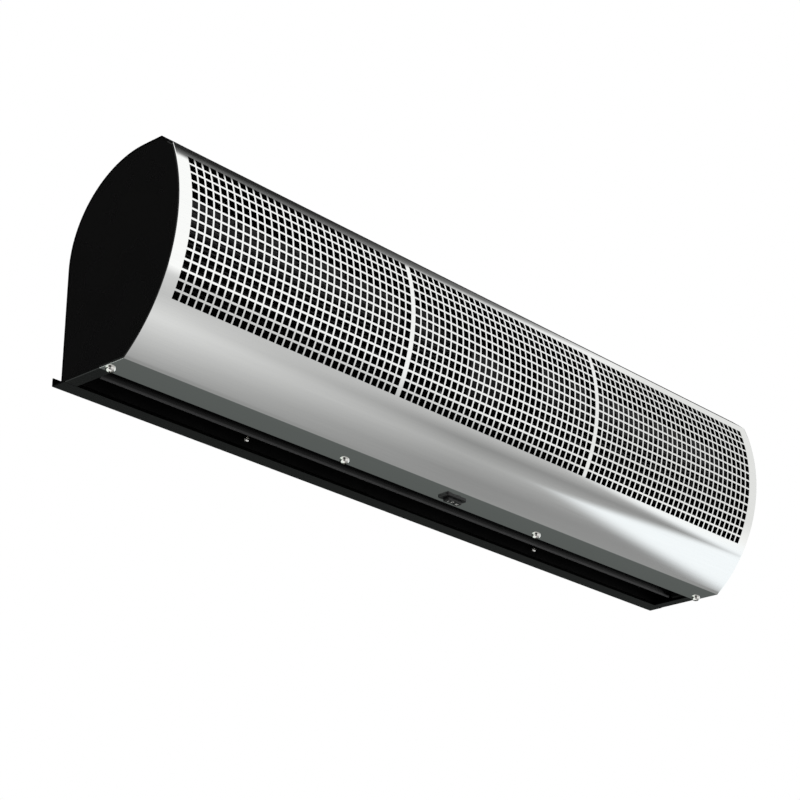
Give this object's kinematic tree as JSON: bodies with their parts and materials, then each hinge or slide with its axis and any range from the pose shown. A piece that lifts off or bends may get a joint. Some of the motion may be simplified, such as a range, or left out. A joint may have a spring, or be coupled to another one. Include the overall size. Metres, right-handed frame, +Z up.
{
  "type": "air curtain",
  "caption": "Wall-hung cross-flow air curtain with a curved perforated front cover, an underside outlet slot with a tilting vane, and a three-position rocker switch.",
  "frame": {"origin": "middle of the wall plate's four screw holes, on the wall's surface", "axes": "+X along the unit to the right as seen from the room, +Y into the wall, +Z up; the curved front faces -Y and the outlet faces -Z"},
  "size_m": [0.9, 0.157, 0.2096],
  "materials": {
    "cover_steel": "satin, fine lengthwise grain",
    "black_paint": "fine-textured satin black powder coat",
    "zinc_steel": "galvanised, faint spangle",
    "black_aluminium": "rolled sheet with black lacquer",
    "bright_steel": "ground",
    "grey_paint": "semi-gloss grey",
    "copper": "enamelled copper wire",
    "bronze": "plain brass or sintered bronze",
    "rubber": "matt black",
    "chrome": "bright nickel plate",
    "black_plastic": "fine-textured black",
    "white_plastic": "satin off-white"
  },
  "bodies": {
    "unit": {"front_cover": "cover_steel", "rear_housing": "black_paint", "bottom_rail": "black_paint", "end_plate_left": "black_paint", "end_plate_right": "black_paint", "wall_plate": "zinc_steel", "scroll_left": "black_paint", "scroll_right": "black_paint", "tongue_left": "black_paint", "tongue_right": "black_paint", "bulkhead_left": "black_paint", "bulkhead_right": "black_paint", "bay_channel": "black_paint", "cover_stay_left": "black_paint", "cover_stay_right": "black_paint", "motor_case": "grey_paint", "motor_shield_left": "grey_paint", "motor_shield_right": "grey_paint", "stator_core": "bright_steel", "stator_windings": "copper", "motor_rubber_rings": "rubber", "motor_cradle": "zinc_steel", "clamp_straps": "zinc_steel", "strap_screws": "chrome", "cradle_screws": "chrome", "bearing_holders": "zinc_steel", "bearing_rubbers": "rubber", "bearing_bushes": "bronze", "bearing_nuts": "chrome", "vane_brackets": "black_paint", "switch_housing": "black_plastic", "switch_tabs": "bronze", "cover_screws": "chrome", "throat_screws": "chrome", "capacitor": "white_plastic", "capacitor_clip": "zinc_steel", "clip_screw": "chrome", "terminal_block": "white_plastic", "terminal_screws": "bronze", "cable_grommet": "rubber"},
    "blower": {"impeller_left": "black_aluminium", "impeller_right": "black_aluminium", "stub_shaft_left": "bright_steel", "stub_shaft_right": "bright_steel", "hub_set_screws": "bright_steel", "motor_shaft": "bright_steel", "rotor_core": "bright_steel"},
    "vane": {"outlet_vane": "black_paint"},
    "rocker": {"switch_rocker": "black_plastic"}
  },
  "joints": [
    {"name": "blower_spin", "type": "hinge", "parent": "unit", "child": "blower", "pos_m": [0, -0.0884, 0.025], "axis": [1, 0, 0], "continuous": true},
    {"name": "vane_tilt", "type": "hinge", "parent": "unit", "child": "vane", "pos_m": [0, -0.0509, -0.073], "axis": [1, 0, 0], "range_deg": [-35, 25]},
    {"name": "rocker_tilt", "type": "hinge", "parent": "unit", "child": "rocker", "pos_m": [0.002, -0.078, -0.0975], "axis": [0, 1, 0], "range_deg": [-8, 8]}
  ]
}
